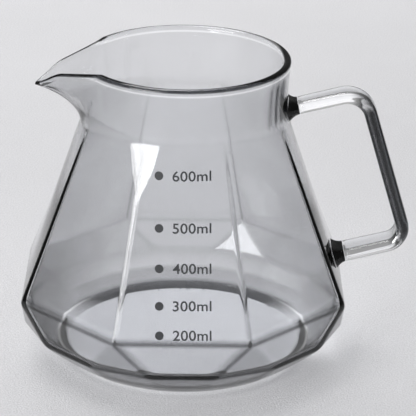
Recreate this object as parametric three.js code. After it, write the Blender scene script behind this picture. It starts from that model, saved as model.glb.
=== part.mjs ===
// Smoked-glass coffee carafe: a mould-blown faceted vessel with a pulled pouring lip, and a bent
// glass strap handle held to the wall by two flared seals.
// Millimetres, +Z up, the middle of the base at the origin. The lip points along -X, the handle along +X,
// and one shoulder face looks along -Y.

import * as THREE from 'three';

const DEGREE = Math.PI / 180;

// Vessel, outside
const FACE_COUNT = 8;
const WIDEST_CORNER_RADIUS = 65;
const WIDEST_HEIGHT = 27;
const FOOT_INSET = 4.2; // how far the foot's corners lie inside the widest ones
const FOOT_HEIGHT = 13.4;
const BASE_RADIUS = 42.5;
const NECK_RADIUS = 37.8;
const RIM_RADIUS = 38.7;
const RIM_HEIGHT = 115.4;
const NECK_LENGTH = 21.6; // rim down to where the shoulder faces end in the round neck
const FLARE_LENGTH = 15; // rim's bead down to the narrowest ring
const NECK_BLEND = 1.1; // how deep the faces and the round neck melt into each other
const BASE_CURVE = 1.25; // how the underside steepens from the flat base up to the foot

// Vessel, glass
const WALL = 2.4;
const FLOOR = 5.4;
const FLOOR_EDGE = 4.4; // glass beside the floor's edge, measured level
const RIM_BEAD = 2.8; // thickness of the fire-polished rim

// Pouring lip
const LIP_REACH = 55.2; // axis to the tip
const LIP_FALL = 6.7; // how far the lip's straight sides fall from the rim to the tip
const BEAK_FALL = 3.4; // how much further the beak at the tip bends down
const LIP_HALF_WIDTH = 22; // middle of the lip to where it leaves the round rim
const BEAK_HALF_WIDTH = 9;
const LIP_DEPTH = 24.6; // rim down to where the lip starts out of the neck
const LIP_NOSE = 1.5; // roundness of the tip
const LIP_THROAT = 5; // roundness that the channel gains towards its foot
const LIP_THICKENING = 3.2; // extra glass under the channel
const LIP_SIDE_CURVE = 1.5; // how the lip falls away to each side
const LIP_REACH_CURVE = 1.3; // how its reach grows up the neck
const LIP_FALL_CURVE = 1.6; // how its fall grows up the neck

// Handle
const STRAP_THICKNESS = 4.8;
const STRAP_TOP_WIDTH = 10;
const STRAP_BOTTOM_WIDTH = 12.5;
const STRAP_EDGE_RADIUS = 2.2;
const STRAP_EDGE_LIMIT = 0.48; // largest share of the strap's thickness that its edge radius may take
const ARM_SLOPE = 14.3 * DEGREE;
const UPPER_ARM_DROP = 19.6; // rim down to where the upper arm's middle meets the neck
const LOWER_ARM_HEIGHT = 37.8; // where the lower arm's middle meets the shoulder face
const GRIP_TOP_REACH = 65.8; // axis to the corner of the grip's line and the upper arm's line
const GRIP_BOTTOM_REACH = 83.6;
const UPPER_BEND_RADIUS = 9;
const LOWER_BEND_RADIUS = 7;

// Seals between strap and wall
const WELD_LENGTH = 4;
const WELD_FLARE = 1.8;
const SEAL_GAP = 0.3;

// Fineness of the mesh
const COLUMNS_PER_FACE = 8;
const COLUMNS = FACE_COUNT * COLUMNS_PER_FACE;
const BASE_RINGS = 4;
const SHOULDER_RINGS = 4;
const NECK_RINGS = 12;
const RIM_STEPS = 6;
const COLUMN_GATHER = 0.4; // share by which the neck's columns crowd towards the lip
const BEND_STEPS = 6;
const CORNER_STEPS = 4;
const WELD_RINGS = 4;
const SEAT_RINGS = 3;

// Worked out from the sizes above
const FACE_ANGLE = (2 * Math.PI) / FACE_COUNT;
const WIDEST_FLAT = WIDEST_CORNER_RADIUS * Math.cos(FACE_ANGLE / 2);
const FOOT_FLAT = (WIDEST_CORNER_RADIUS - FOOT_INSET) * Math.cos(FACE_ANGLE / 4);
const SHOULDER_TOP = RIM_HEIGHT - NECK_LENGTH;
const SHOULDER_SLOPE = (WIDEST_FLAT - NECK_RADIUS) / (SHOULDER_TOP - WIDEST_HEIGHT);
const BLEND_START = SHOULDER_TOP - NECK_BLEND / SHOULDER_SLOPE;
const BEAD_RADIUS = RIM_BEAD / 2;
const BEAD_HEIGHT = RIM_HEIGHT - BEAD_RADIUS;
const NARROWEST_HEIGHT = BEAD_HEIGHT - FLARE_LENGTH;
const LIP_START = RIM_HEIGHT - LIP_DEPTH;

const { clamp, lerp, smoothstep } = THREE.MathUtils;

// Collects the points and triangles of one closed body.
class Shell {
  constructor() {
    this.points = [];
    this.triangles = [];
  }

  add(points) {
    const first = this.points.length;
    this.points.push(...points);
    return points.map((_, i) => first + i);
  }

  bridge(ring, next) {
    for (let i = 0; i < ring.length; i++) {
      const j = (i + 1) % ring.length;
      this.triangles.push([ring[i], ring[j], next[j]]);
      this.triangles.push([ring[i], next[j], next[i]]);
    }
  }

  // Joins two open rows of unlike counts, which lie on one flat face.
  zip(row, next) {
    let i = 0;
    let j = 0;
    while (i < row.length - 1 || j < next.length - 1) {
      const rowShare = (i + 1) / (row.length - 1 || 1);
      const nextShare = (j + 1) / (next.length - 1 || 1);
      if (i < row.length - 1 && (j === next.length - 1 || rowShare <= nextShare)) {
        this.triangles.push([row[i], row[i + 1], next[j]]);
        i += 1;
      } else {
        this.triangles.push([row[i], next[j + 1], next[j]]);
        j += 1;
      }
    }
  }

  // Closes a ring with a fan; the ring runs anticlockwise seen from the side that the fan faces.
  cap(ring, middle) {
    const [centre] = this.add([middle]);
    ring.forEach((corner, i) => this.triangles.push([centre, corner, ring[(i + 1) % ring.length]]));
  }

  mesh(name, material) {
    const geometry = new THREE.BufferGeometry().setFromPoints(this.points);
    geometry.setIndex(this.triangles.flat());
    geometry.computeVertexNormals();
    const mesh = new THREE.Mesh(geometry, material);
    mesh.name = name;
    return mesh;
  }
}

// Larger of two lengths, with the crossing rounded over the given depth.
function softMax(a, b, depth) {
  const near = Math.max(depth - Math.abs(a - b), 0) / depth;
  return Math.max(a, b) + (near * near * depth) / 4;
}

// Distance from the axis to a regular polygon's edge, with a flat at angle 0.
function polygonRadius(flat, sides, angle) {
  const step = (2 * Math.PI) / sides;
  const offMiddle = angle - Math.round(angle / step) * step;
  return flat / Math.cos(offMiddle);
}

// 0 at the narrowest ring of the neck, 1 at the rim's bead.
function flare(z) {
  return clamp((z - NARROWEST_HEIGHT) / FLARE_LENGTH, 0, 1) ** 2;
}

// Distance from the axis to the shoulder or neck, as deep under the outer skin as given. The shoulder is
// many-sided at its widest ring and round where it ends, with straight lines between.
function shoulderRadius(angle, z, depth) {
  const rise = (z - WIDEST_HEIGHT) / (SHOULDER_TOP - WIDEST_HEIGHT);
  const lean = Math.hypot(1, SHOULDER_SLOPE);
  const faces = polygonRadius(WIDEST_FLAT, FACE_COUNT, angle);
  const shoulder = lerp(faces, NECK_RADIUS, rise) - depth * lean;
  const neck = lerp(NECK_RADIUS, RIM_RADIUS, flare(z)) - depth;
  return softMax(shoulder, neck, NECK_BLEND);
}

// Outside of the wall on the handle's side: how far along X it lies at a width and a height.
function wallReach(y, z) {
  let x = shoulderRadius(0, z, 0);
  for (let i = 0; i < 6; i++) {
    const radius = shoulderRadius(Math.atan2(y, x), z, 0);
    x = Math.sqrt(radius * radius - y * y);
  }
  return x;
}

function columnAngle(column, z) {
  const even = (column * 2 * Math.PI) / COLUMNS;
  return even + COLUMN_GATHER * smoothstep(z, NARROWEST_HEIGHT, BEAD_HEIGHT) * Math.sin(even);
}

// Draws the rim out into the lip: most at the middle of the lip, less to each side and further down.
function pullLip(point, thickening) {
  const level = clamp((point.z - LIP_START) / (BEAD_HEIGHT - LIP_START), 0, 1);
  if (point.x > 0 || level === 0) {
    return point;
  }
  const nose = LIP_NOSE + LIP_THROAT * (1 - level);
  const side = Math.hypot(point.y, nose) - nose;
  const span = Math.hypot(LIP_HALF_WIDTH, nose) - nose;
  const slant = Math.max(1 - side / span, 0);
  const beak = Math.max(1 - (point.y / BEAK_HALF_WIDTH) ** 2, 0) ** 2;
  const reach = (LIP_REACH - RIM_RADIUS) * slant ** LIP_SIDE_CURVE;
  const fall = LIP_FALL * slant + BEAK_FALL * beak;
  point.x -= reach * level ** LIP_REACH_CURVE;
  point.z -= fall * level ** LIP_FALL_CURVE - thickening * slant * Math.sin(Math.PI * level);
  return point;
}

function circlePoint(radius, angle, z) {
  return new THREE.Vector3(radius * Math.cos(angle), radius * Math.sin(angle), z);
}

function ringPoints(z, radiusAt) {
  return Array.from({ length: COLUMNS }, (_, column) => {
    const angle = columnAngle(column, z);
    return circlePoint(radiusAt(angle), angle, z);
  });
}

// Round base to many-sided foot, share 0 to 1; the profile starts flat and steepens.
function footRing(share, baseRadius, baseHeight, footFlat, footHeight) {
  return ringPoints(lerp(baseHeight, footHeight, share ** BASE_CURVE), (angle) => {
    return lerp(baseRadius, polygonRadius(footFlat, 2 * FACE_COUNT, angle), share);
  });
}

// Foot band: an upright four-sided face under each shoulder face, and a triangle under each corner.
function footBand(shell, foot, widest) {
  const pick = (ring, column) => ring[(column + COLUMNS) % COLUMNS];
  const row = (ring, middle, reach) => {
    return Array.from({ length: 2 * reach + 1 }, (_, i) => pick(ring, middle - reach + i));
  };
  const half = COLUMNS_PER_FACE / 2;
  for (let face = 0; face < FACE_COUNT; face++) {
    const middle = face * COLUMNS_PER_FACE;
    shell.zip(row(foot, middle, half / 2), row(widest, middle, half));
    shell.zip(row(foot, middle + half, half / 2), [pick(widest, middle + half)]);
  }
}

// Heights of the rings from the widest one up to the rim's bead.
function shoulderHeights() {
  const heights = [];
  for (let i = 0; i < SHOULDER_RINGS; i++) {
    heights.push(lerp(WIDEST_HEIGHT, BLEND_START, i / SHOULDER_RINGS));
  }
  for (let i = 0; i <= NECK_RINGS; i++) {
    heights.push(lerp(BLEND_START, BEAD_HEIGHT, i / NECK_RINGS));
  }
  return heights;
}

// Joins a skin's rings from its level floor up, with the foot band above the last ring of the underside.
function joinRings(shell, rings, floorHeight) {
  shell.cap(rings[0].toReversed(), new THREE.Vector3(0, 0, floorHeight));
  rings.slice(0, -1).forEach((ring, i) => {
    if (i === BASE_RINGS) {
      footBand(shell, ring, rings[i + 1]);
    } else {
      shell.bridge(ring, rings[i + 1]);
    }
  });
}

function outerSkin(shell) {
  const rings = [];
  for (let i = 0; i <= BASE_RINGS; i++) {
    rings.push(shell.add(footRing(i / BASE_RINGS, BASE_RADIUS, 0, FOOT_FLAT, FOOT_HEIGHT)));
  }
  for (const z of shoulderHeights()) {
    const ring = ringPoints(z, (angle) => shoulderRadius(angle, z, 0));
    rings.push(shell.add(ring.map((point) => pullLip(point, 0))));
  }
  joinRings(shell, rings, 0);
  return rings.at(-1);
}

// Inner skin, from the rim down to the floor. The wall grows into the rim's bead along the flare.
function innerSkin(shell, top) {
  const inside = new Shell();
  const rings = [];
  const floorShare = (FLOOR / FOOT_HEIGHT) ** (1 / BASE_CURVE);
  const floorRadius = lerp(BASE_RADIUS, FOOT_FLAT, floorShare) - FLOOR_EDGE;
  const footHeight = FOOT_HEIGHT + WALL / 2;
  for (let i = 0; i <= BASE_RINGS; i++) {
    rings.push(inside.add(footRing(i / BASE_RINGS, floorRadius, FLOOR, FOOT_FLAT - WALL, footHeight)));
  }
  for (const z of shoulderHeights().slice(0, -1)) {
    const depth = lerp(WALL, RIM_BEAD, flare(z));
    const ring = ringPoints(z, (angle) => shoulderRadius(angle, z, depth));
    rings.push(inside.add(ring.map((point) => pullLip(point, LIP_THICKENING))));
  }
  joinRings(inside, rings, FLOOR);
  const first = shell.add(inside.points)[0];
  for (const triangle of inside.triangles) {
    shell.triangles.push(triangle.map((corner) => corner + first).reverse());
  }
  shell.bridge(top, rings.at(-1).map((corner) => corner + first));
}

// Rounded rim, from the outer skin's last ring over the crest to the inner side.
function rimBead(shell, outer) {
  let last = outer;
  for (let i = 1; i <= RIM_STEPS; i++) {
    const turn = (i * Math.PI) / RIM_STEPS;
    const z = BEAD_HEIGHT + BEAD_RADIUS * Math.sin(turn);
    const outward = BEAD_RADIUS * (1 - Math.cos(turn));
    const ring = ringPoints(BEAD_HEIGHT, (angle) => shoulderRadius(angle, BEAD_HEIGHT, outward));
    ring.forEach((point) => {
      pullLip(point, 0);
      point.z += z - BEAD_HEIGHT;
    });
    const next = shell.add(ring);
    shell.bridge(last, next);
    last = next;
  }
  return last;
}

function carafeBody(material) {
  const shell = new Shell();
  const outer = outerSkin(shell);
  const crest = rimBead(shell, outer);
  innerSkin(shell, crest);
  return shell.mesh('carafe_body', material);
}

// Outline of the strap, grown by a margin: x across the carafe, y across the strap's thickness.
function strapOutline(width, margin) {
  const halfWidth = width / 2 + margin;
  const halfThickness = STRAP_THICKNESS / 2 + margin;
  const radius = Math.min(STRAP_EDGE_RADIUS, STRAP_EDGE_LIMIT * STRAP_THICKNESS) + margin;
  const outline = new THREE.Path();
  for (let corner = 0; corner < 4; corner++) {
    const x = (corner === 0 || corner === 3 ? 1 : -1) * (halfWidth - radius);
    const y = (corner < 2 ? 1 : -1) * (halfThickness - radius);
    const from = (corner * Math.PI) / 2;
    outline.absarc(x, y, radius, from, from + Math.PI / 2);
  }
  return outline.getPoints(CORNER_STEPS / 2);
}

// One place on the strap's middle line, in the plane of the handle, with its direction of travel.
function station(x, z, direction) {
  return {
    middle: new THREE.Vector3(x, 0, z),
    along: new THREE.Vector3(Math.cos(direction), 0, Math.sin(direction)),
    over: new THREE.Vector3(-Math.sin(direction), 0, Math.cos(direction)),
  };
}

// A point of an outline set at a station, with the outline's x along +Y.
function onStation(place, point) {
  const set = place.middle.clone().addScaledVector(place.over, point.y);
  set.y += point.x;
  return set;
}

// Where an arm's middle line meets the wall, with the direction from the wall out along the arm.
function armRoot(z) {
  return station(wallReach(0, z), z, ARM_SLOPE);
}

function handlePath() {
  const upper = armRoot(RIM_HEIGHT - UPPER_ARM_DROP);
  const lower = armRoot(LOWER_ARM_HEIGHT);
  const cornerAt = (root, reach) => {
    const rise = (reach - root.middle.x) * Math.tan(ARM_SLOPE);
    return new THREE.Vector2(reach, root.middle.z + rise);
  };
  const upperCorner = cornerAt(upper, GRIP_TOP_REACH);
  const lowerCorner = cornerAt(lower, GRIP_BOTTOM_REACH);
  const grip = lowerCorner.clone().sub(upperCorner).angle() - 2 * Math.PI;
  const endOf = (root) => root.middle.clone().addScaledVector(root.along, WELD_LENGTH + SEAL_GAP);
  return { upperEnd: endOf(upper), lowerEnd: endOf(lower), upperCorner, lowerCorner, grip };
}

// Stations round a bend that turns clockwise from one direction to the next.
function bendStations(corner, radius, from, to) {
  const turn = from - to;
  const back = radius * Math.tan(turn / 2);
  const ahead = new THREE.Vector2(Math.cos(from), Math.sin(from));
  const inward = new THREE.Vector2(Math.sin(from), -Math.cos(from));
  const centre = corner.clone().addScaledVector(ahead, -back).addScaledVector(inward, radius);
  return Array.from({ length: 2 * BEND_STEPS + 1 }, (_, i) => {
    const direction = from - (turn * i) / (2 * BEND_STEPS);
    const x = centre.x - radius * Math.sin(direction);
    const z = centre.y + radius * Math.cos(direction);
    return station(x, z, direction);
  });
}

function handleStrap(material) {
  const path = handlePath();
  const homeward = -Math.PI + ARM_SLOPE;
  const places = [
    station(path.upperEnd.x, path.upperEnd.z, ARM_SLOPE),
    ...bendStations(path.upperCorner, UPPER_BEND_RADIUS, ARM_SLOPE, path.grip),
    ...bendStations(path.lowerCorner, LOWER_BEND_RADIUS, path.grip, homeward),
    station(path.lowerEnd.x, path.lowerEnd.z, homeward),
  ];
  const lengths = [0];
  for (let i = 1; i < places.length; i++) {
    lengths.push(lengths[i - 1] + places[i].middle.distanceTo(places[i - 1].middle));
  }
  const shell = new Shell();
  const rings = places.map((place, i) => {
    const width = lerp(STRAP_TOP_WIDTH, STRAP_BOTTOM_WIDTH, lengths[i] / lengths.at(-1));
    return shell.add(strapOutline(width, 0).map((point) => onStation(place, point)));
  });
  rings.slice(0, -1).forEach((ring, i) => shell.bridge(ring, rings[i + 1]));
  shell.cap(rings[0].toReversed(), places[0].middle);
  shell.cap(rings.at(-1), places.at(-1).middle);
  return shell.mesh('handle_strap', material);
}

// Slides a point along an arm until it stands the seal's gap off the wall.
function seatOnWall(point, along) {
  const seated = point.clone();
  for (let i = 0; i < 12; i++) {
    const short = wallReach(seated.y, seated.z) + SEAL_GAP - seated.x;
    seated.addScaledVector(along, short / along.x);
  }
  return seated;
}

// Flared seal: the strap's own outline at the strap, spreading onto the wall.
function weld(name, height, width, material) {
  const root = armRoot(height);
  const outline = (margin, scale) => {
    return strapOutline(width, margin).map((point) => onStation(root, point.multiplyScalar(scale)));
  };
  const seatDepths = outline(WELD_FLARE, 1).map((point) => {
    return seatOnWall(point, root.along).sub(point).dot(root.along);
  });
  const shell = new Shell();
  const rings = [];
  for (let i = 0; i <= WELD_RINGS; i++) {
    const share = i / WELD_RINGS;
    const ring = outline(WELD_FLARE * share * share, 1);
    ring.forEach((point, k) => point.addScaledVector(root.along, lerp(WELD_LENGTH, seatDepths[k], share)));
    rings.push(shell.add(ring));
  }
  for (let i = 1; i < SEAT_RINGS; i++) {
    const ring = outline(WELD_FLARE, 1 - i / SEAT_RINGS);
    rings.push(shell.add(ring.map((point) => seatOnWall(point, root.along))));
  }
  rings.slice(0, -1).forEach((ring, i) => shell.bridge(rings[i + 1], ring));
  shell.cap(rings[0], root.middle.clone().addScaledVector(root.along, WELD_LENGTH));
  shell.cap(rings.at(-1).toReversed(), seatOnWall(root.middle, root.along));
  return shell.mesh(name, material);
}

const smokedGlass = new THREE.MeshStandardMaterial({ color: 0x9aa0a6, roughness: 0.04, metalness: 0 });
const clearGlass = new THREE.MeshStandardMaterial({ color: 0xd5d9dc, roughness: 0.04, metalness: 0 });
const sealGlass = new THREE.MeshStandardMaterial({ color: 0x4a4e52, roughness: 0.08, metalness: 0 });

const carafe = new THREE.Group();
carafe.name = 'glass_carafe';
carafe.add(carafeBody(smokedGlass));
carafe.add(handleStrap(clearGlass));
carafe.add(weld('upper_weld', RIM_HEIGHT - UPPER_ARM_DROP, STRAP_TOP_WIDTH, sealGlass));
carafe.add(weld('lower_weld', LOWER_ARM_HEIGHT, STRAP_BOTTOM_WIDTH, sealGlass));

export default carafe;
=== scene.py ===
"""A smoked-glass coffee carafe: faceted vessel, pulled lip, bent strap handle and printed volume scale."""

import math

import bpy
import numpy as np
from bpy.props import FloatProperty, FloatVectorProperty, IntProperty, PointerProperty
from mathutils import Matrix, Vector


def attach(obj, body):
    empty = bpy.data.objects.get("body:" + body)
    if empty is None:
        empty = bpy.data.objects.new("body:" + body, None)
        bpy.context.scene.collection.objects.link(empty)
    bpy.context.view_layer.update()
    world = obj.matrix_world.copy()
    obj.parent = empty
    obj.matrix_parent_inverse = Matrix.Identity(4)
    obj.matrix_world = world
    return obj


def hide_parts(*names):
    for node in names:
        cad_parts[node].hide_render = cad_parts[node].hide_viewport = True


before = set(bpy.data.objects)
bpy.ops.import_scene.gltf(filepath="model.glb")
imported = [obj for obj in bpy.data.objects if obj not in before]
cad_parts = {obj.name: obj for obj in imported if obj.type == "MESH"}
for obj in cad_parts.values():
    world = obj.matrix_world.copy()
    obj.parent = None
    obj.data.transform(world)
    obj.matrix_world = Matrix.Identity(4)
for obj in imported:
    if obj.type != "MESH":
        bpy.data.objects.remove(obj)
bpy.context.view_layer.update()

bl_info = {
    "name": "Glass Carafe",
    "version": (1, 0, 0),
    "blender": (4, 5, 0),
    "location": "3D View > Sidebar > Carafe",
    "description": "Builds a faceted glass carafe with its handle, its seals and its printed scale",
    "category": "Add Mesh",
}

BODY = "root"
EDGE_SHADE = "edge_shade"
SMOKE_AND_SHADE_SHARE = "smoke_share"
EDGE_LIGHT = "edge_light"
FACES = 8
FACE_ANGLE = math.tau / FACES


def length(name, default, description):
    return FloatProperty(name=name, description=description, default=default, unit="LENGTH", precision=5)


def factor(name, default, description):
    return FloatProperty(name=name, description=description, default=default, min=0.0)


def colour(name, default, description):
    return FloatVectorProperty(
        name=name, description=description, default=default, subtype="COLOR", size=3, min=0.0, max=1.0
    )


class VesselSizes(bpy.types.PropertyGroup):
    """Sizes of the faceted vessel and its rim"""

    widest_corner: length("Widest corner", 0.065, "Axis to the corners of the widest ring")
    widest_height: length("Widest height", 0.027, "Base to the widest ring")
    foot_inset: length("Foot inset", 0.0042, "How far the foot's corners lie inside the widest ones")
    foot_height: length("Foot height", 0.0134, "Base to the foot's ring")
    base_radius: length("Base radius", 0.0425, "Radius of the flat that the carafe stands on")
    base_curve: factor("Base curve", 1.25, "How the underside steepens from the base up to the foot")
    neck_radius: length("Neck radius", 0.0378, "Radius of the neck at its narrowest ring")
    rim_radius: length("Rim radius", 0.0387, "Radius of the rim")
    rim_height: length("Rim height", 0.1154, "Base to the top of the rim")
    neck_length: length("Neck length", 0.0216, "Rim down to where the faces end in the round neck")
    flare_length: length("Flare length", 0.015, "Rim's bead down to the narrowest ring")
    neck_blend: length("Neck blend", 0.0011, "How deep faces and neck melt into each other")
    wall: length("Wall", 0.0024, "Thickness of the glass")
    floor: length("Floor", 0.0054, "Thickness of the floor")
    floor_edge: length("Floor edge", 0.0044, "Glass beside the floor's edge, measured level")
    rim_bead: length("Rim bead", 0.0028, "Thickness of the fire-polished rim")
    ridge: length("Ridge softness", 0.0008, "How deep the outer ridges are melted")
    inner_ridge: length("Inner ridge softness", 0.0012, "How deep the inner ridges are melted")


class EdgeShades(bpy.types.PropertyGroup):
    """Painted shade along the melted edges of the glass, and painted glints where they gather light"""

    # Painted shade, blended into the glass's colour along ridges, rings, braces, foot band, underside, rim
    # and grip.
    width: length("Width", 0.0006, "Width of the dark along ridges")
    foot_width: length("Foot width", 0.0021, "Width of the dark along the foot's ring")
    ridge: factor("Ridges", 0.55, "Dark along the ridges between faces")
    brace: factor("Braces", 0.95, "Dark along the foot band's leaning ridges beside the scale's face")
    outer_brace: factor("Outer braces", 0.35, "Share of that dark on all other leaning ridges")
    widest: factor("Widest ring", 0.95, "Dark along the widest ring")
    widest_width: length("Widest ring width", 0.0011, "Width of the dark along the widest ring")
    foot: factor("Foot ring", 0.97, "Dark along the foot's ring")
    band: factor("Foot band", 0.12, "Dark of the whole foot band")
    triangle: factor("Triangles", 0.25, "Dark of the foot band's triangles")
    under: factor("Underside", 0.95, "Dark of the underside behind the base")
    under_height: length("Underside height", 0.0046, "How far that dark goes up")
    heel: factor("Heel", 0.8, "Dark of the underside in front of the base")
    back: factor("Back", 0.2, "Share of the foot's dark on the side away from the scale")
    inner: factor("Inner edges", 0.5, "Share of the outer edges' dark that the inner edges have")
    rim: factor("Rim", 1.0, "Dark along the outside of the rim")
    lip_side: factor("Lip side", 0.4, "Dark inside the foot band towards the lip")
    handle_side: factor("Handle side", 0.2, "Dark inside the foot band towards the handle")
    grip: factor("Grip", 0.99, "Dark along the grip's rounded edges")
    grip_line: factor("Grip line", 0.42, "Place of the grip's bright line, in half thicknesses")
    # Painted glints and glow, given off as emission.
    glint: factor("Floor glint", 0.5, "Light that the edge of the floor gathers inside")
    glow: factor("Floor glow", 0.12, "Light that spreads from the edge of the floor inwards")
    glow_width: length("Floor glow width", 0.006, "How far that light spreads")
    rim_glint: factor("Rim glint", 0.28, "Light that the lower edge of the rim gathers")
    glint_width: length("Glint width", 0.00032, "Width of that light")
    upper_arm: factor("Upper arm", 0.15, "Light that the upper arm gathers along its rounded edges")
    lower_arm: factor("Lower arm", 0.1, "Light that the lower arm gathers along its rounded edges")


class LipSizes(bpy.types.PropertyGroup):
    """Sizes of the pouring lip"""

    reach: length("Reach", 0.0552, "Axis to the tip")
    fall: length("Fall", 0.0067, "How far the lip's straight sides fall to the tip")
    beak_fall: length("Beak fall", 0.0034, "How much further the beak bends down")
    half_width: length("Half width", 0.022, "Middle of the lip to where it leaves the round rim")
    beak_half_width: length("Beak half width", 0.009, "Middle of the lip to the beak's side")
    depth: length("Depth", 0.0246, "Rim down to where the lip starts out of the neck")
    nose: length("Nose", 0.0015, "Roundness of the tip")
    throat: length("Throat", 0.005, "Roundness that the channel gains towards its foot")
    thickening: length("Thickening", 0.0012, "Extra glass under the channel")
    side_curve: factor("Side curve", 1.5, "How the lip falls away to each side")
    reach_curve: factor("Reach curve", 1.3, "How its reach grows up the neck")
    fall_curve: factor("Fall curve", 1.6, "How its fall grows up the neck")


class HandleSizes(bpy.types.PropertyGroup):
    """Sizes of the strap handle and its seals"""

    thickness: length("Thickness", 0.0048, "Thickness of the strap")
    top_width: length("Top width", 0.010, "Width of the strap at its upper end")
    bottom_width: length("Bottom width", 0.0125, "Width of the strap at its lower end")
    edge_radius: length("Edge radius", 0.0022, "Rounding of the strap's edges")
    arm_slope: FloatProperty(
        name="Arm slope", description="Rise of both arms", default=math.radians(14.3), subtype="ANGLE"
    )
    upper_drop: length("Upper arm drop", 0.0196, "Rim down to where the upper arm meets the neck")
    lower_height: length("Lower arm height", 0.0378, "Base to where the lower arm meets its face")
    top_reach: length("Grip top reach", 0.0658, "Axis to the corner of grip and upper arm")
    bottom_reach: length("Grip bottom reach", 0.08357, "Axis to the corner of grip and lower arm")
    upper_bend: length("Upper bend", 0.009, "Radius of the upper bend")
    lower_bend: length("Lower bend", 0.007, "Radius of the lower bend")
    seal_length: length("Seal length", 0.004, "Strap's end to the wall")
    seal_flare: length("Seal flare", 0.0018, "How far a seal spreads on the wall")
    seal_gap: length("Seal gap", 0.0003, "Room between a seal and its neighbours")


class ScaleSizes(bpy.types.PropertyGroup):
    """Places and sizes of the printed scale"""

    first_volume: IntProperty(name="First volume", description="Lowest mark, in millilitres", default=200)
    volume_step: IntProperty(name="Volume step", description="Millilitres between marks", default=100)
    heights: FloatVectorProperty(
        name="Heights",
        description="Height of each mark above the base, from the lowest",
        default=(0.03038, 0.04035, 0.05299, 0.06659, 0.08415),
        size=5,
        unit="LENGTH",
    )
    dot_x: length("Dot place", -0.0085, "Middle of the face to the middle of a dot")
    dot_radius: length("Dot radius", 0.00155, "Radius of a dot")
    text_x: length("Text place", -0.0037, "Middle of the face to the left of the writing")
    text_width: length("Text width", 0.01375, "Width of one volume")
    text_height: length("Text height", 0.0037, "Height of a numeral")
    weight: factor("Weight", 0.012, "How much bolder than its font the writing is")
    tilt: FloatProperty(name="Tilt", description="Turn of the whole print", default=0.0136, subtype="ANGLE")
    ink: length("Ink", 0.00003, "Thickness of the print")


class CarafeColours(bpy.types.PropertyGroup):
    """Colours of the glass and the print"""

    smoke: colour("Smoke", (0.40, 0.42, 0.45), "Light that a depth of glass lets through")
    smoke_density: factor("Smoke density", 20.0, "How much light the vessel's glass takes")
    strap_density: factor("Strap density", 8.0, "How much light the strap's glass takes")
    seal_density: factor("Seal density", 1500.0, "How much light the seals take")
    # Colour of the full painted shade; the smoke tint and its painted shade blend towards it as well.
    edge: colour("Edge", (0.01, 0.011, 0.013), "Colour of the glass where a melted edge is darkest")
    ink: colour("Ink", (0.035, 0.037, 0.04), "Colour of the print")


class StageSettings(bpy.types.PropertyGroup):
    """Floor, lights and camera"""

    floor: colour("Floor", (0.79, 0.788, 0.81), "Colour of the floor")
    back_light: factor("Back light", 10.8, "Power of the panel behind the carafe, in watts")
    key_light: factor("Key light", 11.0, "Power of the panel at the front left, in watts")
    top_light: factor("Top light", 10.3, "Power of the panel overhead, in watts")
    surroundings: factor("Surroundings", 0.14, "Brightness of the room")
    lens: FloatProperty(name="Lens", description="Focal length, in millimetres", default=204.45)
    camera_place: FloatVectorProperty(
        name="Camera place",
        description="Where the camera stands",
        default=(0.00297, -0.82028, 0.38812),
        size=3,
        subtype="TRANSLATION",
    )
    camera_turn: FloatVectorProperty(
        name="Camera turn",
        description="Pitch down, yaw to the right and roll of the camera",
        default=(math.radians(22.065), math.radians(0.416), math.radians(0.783)),
        size=3,
        subtype="EULER",
    )


class Carafe(bpy.types.PropertyGroup):
    """Everything that can be set on the carafe"""

    vessel: PointerProperty(name="Vessel", description="Sizes of the vessel", type=VesselSizes)
    # The painted shade and the painted glints along the edges.
    edges: PointerProperty(name="Edges", description="Dark and light along the edges", type=EdgeShades)
    lip: PointerProperty(name="Lip", description="Sizes of the lip", type=LipSizes)
    handle: PointerProperty(name="Handle", description="Sizes of the handle", type=HandleSizes)
    scale: PointerProperty(name="Scale", description="Sizes of the printed scale", type=ScaleSizes)
    colours: PointerProperty(name="Colours", description="Colours of glass and print", type=CarafeColours)
    stage: PointerProperty(name="Stage", description="Floor, lights and camera", type=StageSettings)


def soft_max(a, b, depth):
    """Larger of two lengths, with the crossing rounded over the given depth."""
    overlap = np.maximum(depth - np.abs(a - b), 0) / depth
    return np.maximum(a, b) + overlap * overlap * depth / 4


def soft_min(a, b, depth):
    return -soft_max(-a, -b, depth)


def mix(a, b, share):
    return a + (b - a) * share


def way(value, start, end):
    """How far a value has come from the start to the end, 0 to 1; the end may be the lower one."""
    return np.clip((value - start) / (end - start), 0, 1)


def near(distance, width):
    return np.exp(-((distance / width) ** 2))


def off_middle(angle, sides):
    """Angle to the middle of the nearest side of a regular polygon with a side at angle 0."""
    step = math.tau / sides
    return np.abs(angle - np.round(angle / step) * step)


def polygon_line(flat, sides, angle, softness):
    """Axis to a regular polygon whose corners are melted."""
    off = off_middle(angle, sides)
    return soft_min(flat / np.cos(off), flat / np.cos(math.tau / sides - off), softness)


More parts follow.
